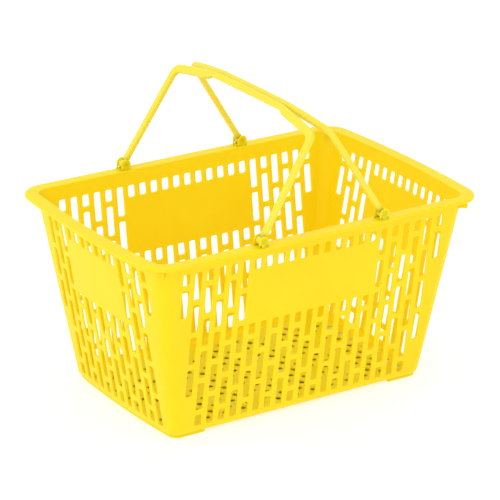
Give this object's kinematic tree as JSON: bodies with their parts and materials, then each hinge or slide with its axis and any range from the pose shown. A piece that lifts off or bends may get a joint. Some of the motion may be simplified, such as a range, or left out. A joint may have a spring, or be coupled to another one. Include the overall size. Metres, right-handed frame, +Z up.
{
  "type": "shopping basket",
  "caption": "Hand-held shopping basket with a flared rim, slotted tapered walls, a perforated floor and bail handles that swing out onto the rim.",
  "frame": {"origin": "middle of the basket on the plane its feet stand on", "axes": "+X along the long side, +Y to the rear long wall, +Z up"},
  "size_m": [0.5, 0.3346, 0.3924],
  "materials": {
    "basket_plastic": "satin moulded polypropylene, warm yellow",
    "handle_plastic": "satin moulded polypropylene, warm yellow"
  },
  "bodies": {
    "basket": {"corner_gussets": "basket_plastic", "end_feet": "basket_plastic", "floor_panel": "basket_plastic", "front_left_corner_post": "basket_plastic", "front_left_pivot_bracket": "basket_plastic", "front_left_rim": "basket_plastic", "front_right_corner_post": "basket_plastic", "front_right_pivot_bracket": "basket_plastic", "front_right_rim": "basket_plastic", "front_rim": "basket_plastic", "front_wall": "basket_plastic", "left_end_wall": "basket_plastic", "left_rim": "basket_plastic", "rear_left_corner_post": "basket_plastic", "rear_left_pivot_bracket": "basket_plastic", "rear_left_rim": "basket_plastic", "rear_right_corner_post": "basket_plastic", "rear_right_pivot_bracket": "basket_plastic", "rear_right_rim": "basket_plastic", "rear_rim": "basket_plastic", "rear_wall": "basket_plastic", "right_end_wall": "basket_plastic", "right_rim": "basket_plastic"},
    "left_handle": {"left_handle": "handle_plastic"},
    "right_handle": {"right_handle": "handle_plastic"}
  },
  "joints": [
    {"name": "left_handle_swing", "type": "hinge", "parent": "basket", "child": "left_handle", "pos_m": [-0.089, 0, 0.2575], "axis": [0, -1, 0], "range_deg": [0, 124]},
    {"name": "right_handle_swing", "type": "hinge", "parent": "basket", "child": "right_handle", "pos_m": [0.089, 0, 0.2575], "axis": [0, 1, 0], "range_deg": [0, 124]}
  ]
}
